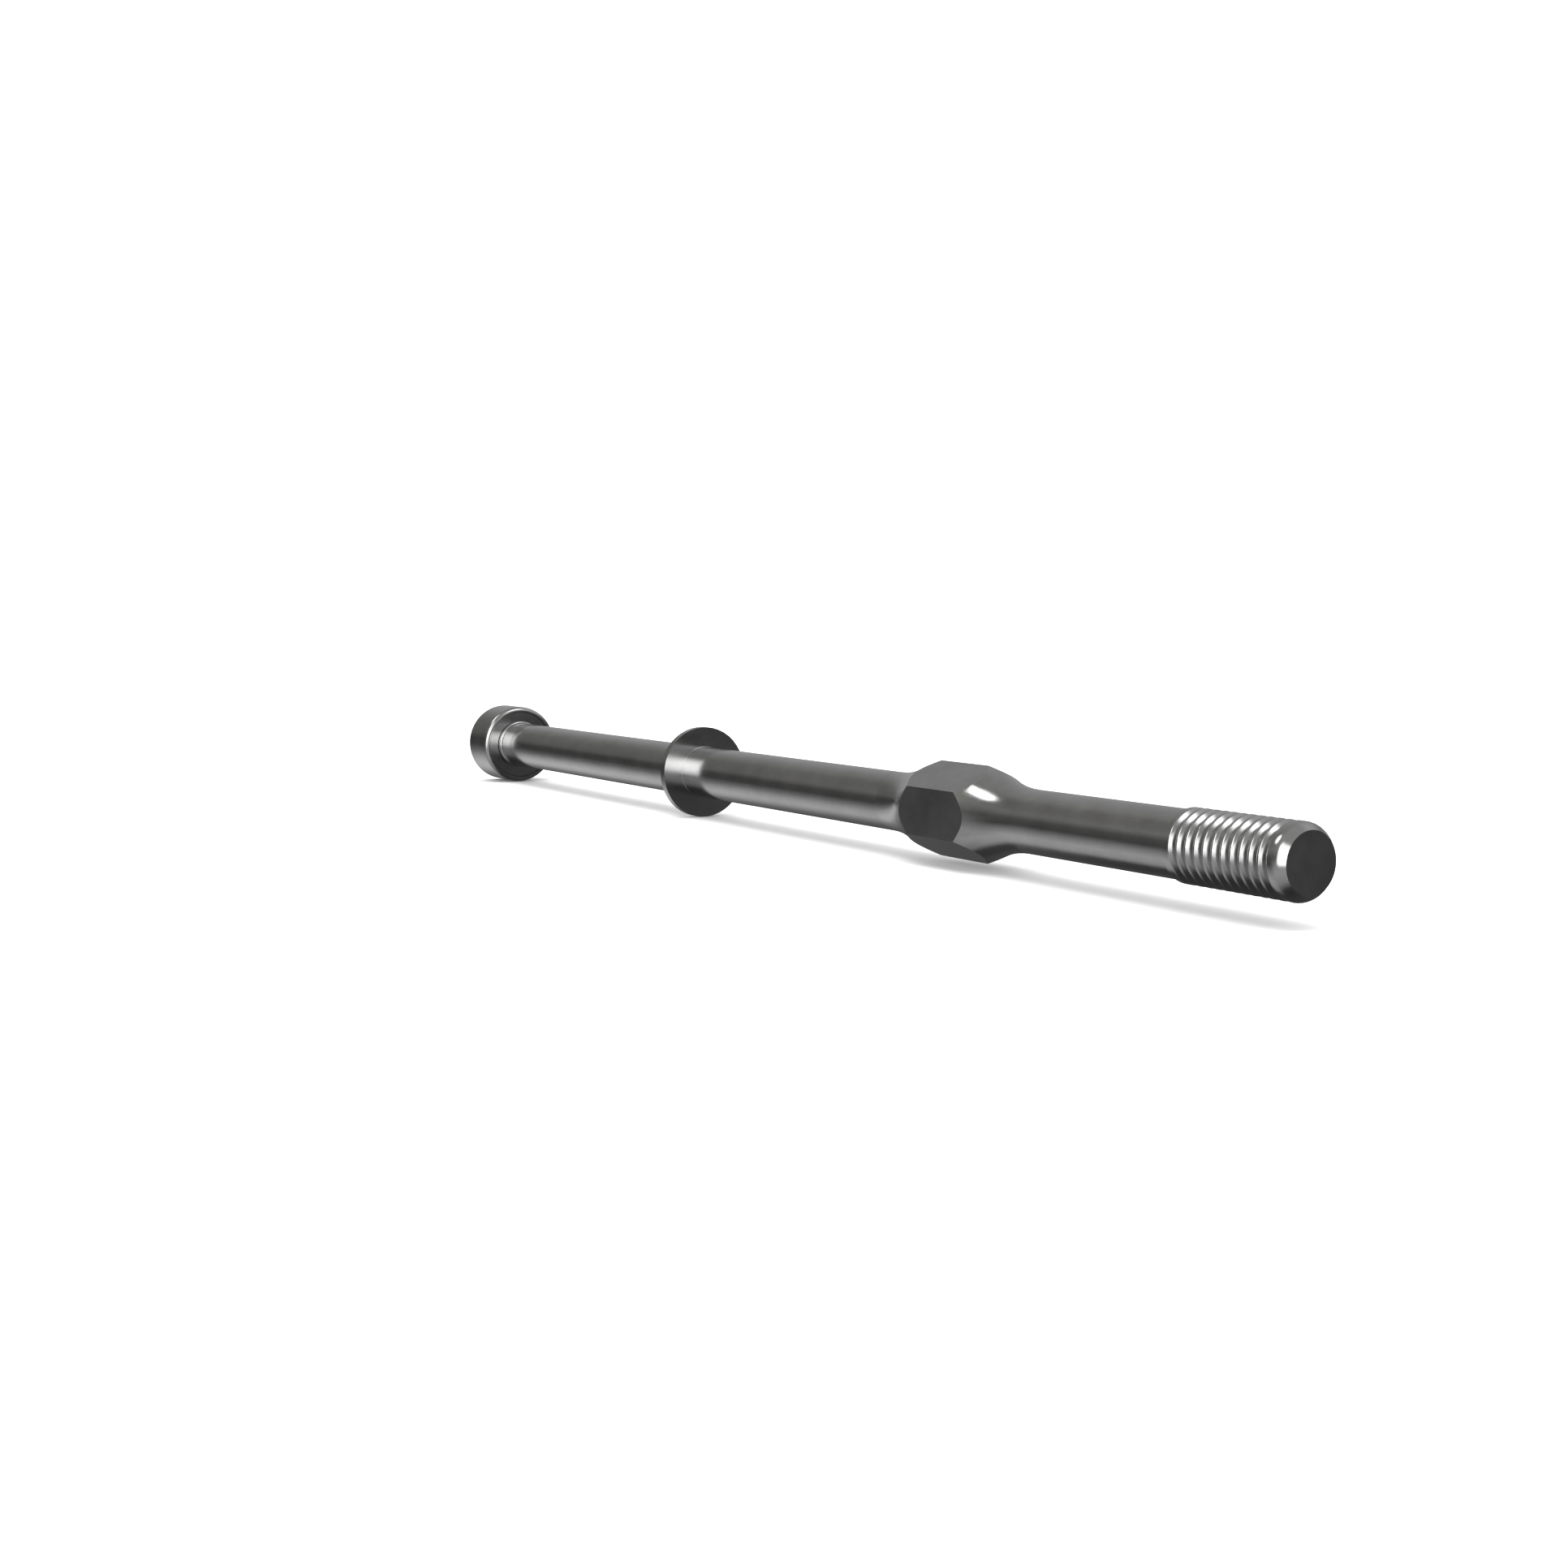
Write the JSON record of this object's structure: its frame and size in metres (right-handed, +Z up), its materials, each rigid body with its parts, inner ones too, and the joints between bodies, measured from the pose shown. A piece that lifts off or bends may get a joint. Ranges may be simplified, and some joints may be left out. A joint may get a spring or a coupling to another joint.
{
  "type": "thrust screw with ball-borne head",
  "caption": "Long steel screw with an external thread, forged hexagon and stop flange, and a cylindrical thrust head that turns on a ball race at its end.",
  "frame": {"origin": "on the screw's axis, midway between the head's flat back and the thread's end face", "axes": "+X along the screw from the head to the threaded end, +Z up through a corner of the hexagon"},
  "size_m": [0.2794, 0.0184, 0.0182],
  "materials": {
    "shaft_steel": "bright turned and rolled steel, lightly polished",
    "head_steel": "bright turned steel, lightly polished",
    "cover_steel": "faced steel",
    "felt": "oiled felt",
    "race_steel": "ground hardened steel",
    "ball_steel": "polished ball steel",
    "cage_brass": "pressed brass",
    "bush_bronze": "oil-filled sintered bronze",
    "spring_steel": "blackened spring steel"
  },
  "bodies": {
    "screw": {"screw_shaft": "shaft_steel", "shaft_race": "race_steel", "journal_circlip": "spring_steel"},
    "ball_set": {"ball_cage": "cage_brass", "thrust_balls": "ball_steel"},
    "head": {"head_cup": "head_steel", "cover_ring": "cover_steel", "housing_race": "race_steel", "journal_bush": "bush_bronze", "wiper_seal": "felt"}
  },
  "joints": [
    {"name": "head_spin", "type": "hinge", "parent": "screw", "child": "head", "pos_m": [-0.1339, 0, 0], "axis": [1, 0, 0], "continuous": true},
    {"name": "ball_set_spin", "type": "hinge", "parent": "screw", "child": "ball_set", "pos_m": [-0.1339, 0, 0], "axis": [1, 0, 0], "continuous": true}
  ],
  "couplings": [
    {"joint": "ball_set_spin", "follows": "head_spin", "ratio": 0.5}
  ]
}
